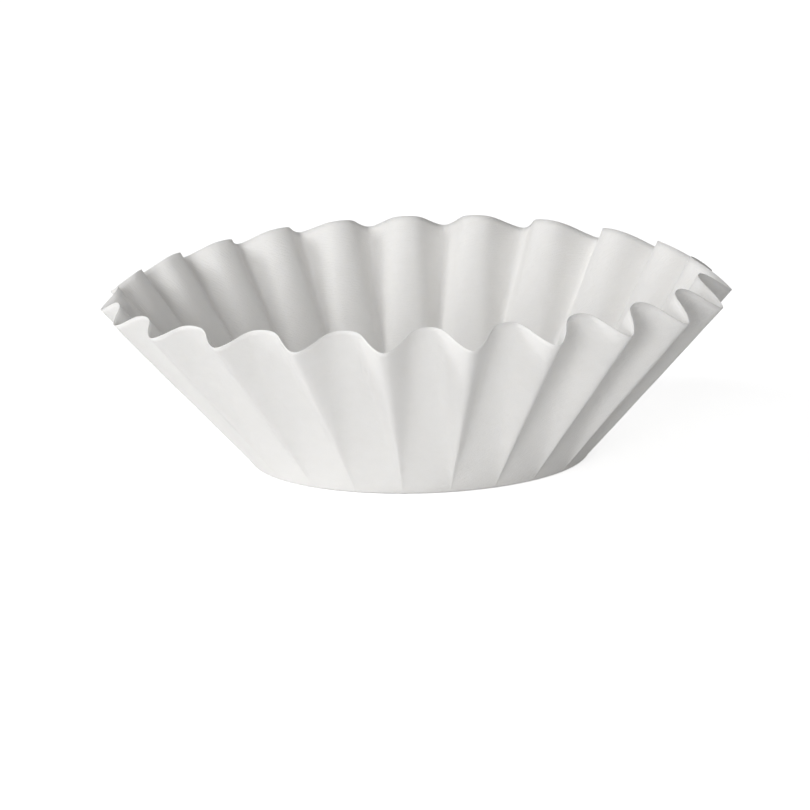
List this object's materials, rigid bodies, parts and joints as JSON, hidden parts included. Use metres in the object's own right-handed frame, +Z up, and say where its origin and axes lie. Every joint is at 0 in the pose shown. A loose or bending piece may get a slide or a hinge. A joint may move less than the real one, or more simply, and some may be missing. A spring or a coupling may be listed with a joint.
{
  "type": "basket coffee filter",
  "caption": "Thin white paper filter with a flat round base and a fluted, outward-sloping wall, for a flat-bottomed brew basket.",
  "frame": {"origin": "centre of the flat base, on its underside", "axes": "+Z up, out of the open top; -Y is the front in the picture and +X is to its right"},
  "size_m": [0.201, 0.1901, 0.0636],
  "materials": {
    "filter_paper": "bleached white creped filter paper, matt and slightly fibrous"
  },
  "bodies": {
    "root": {"coffee_filter": "filter_paper"}
  },
  "joints": []
}
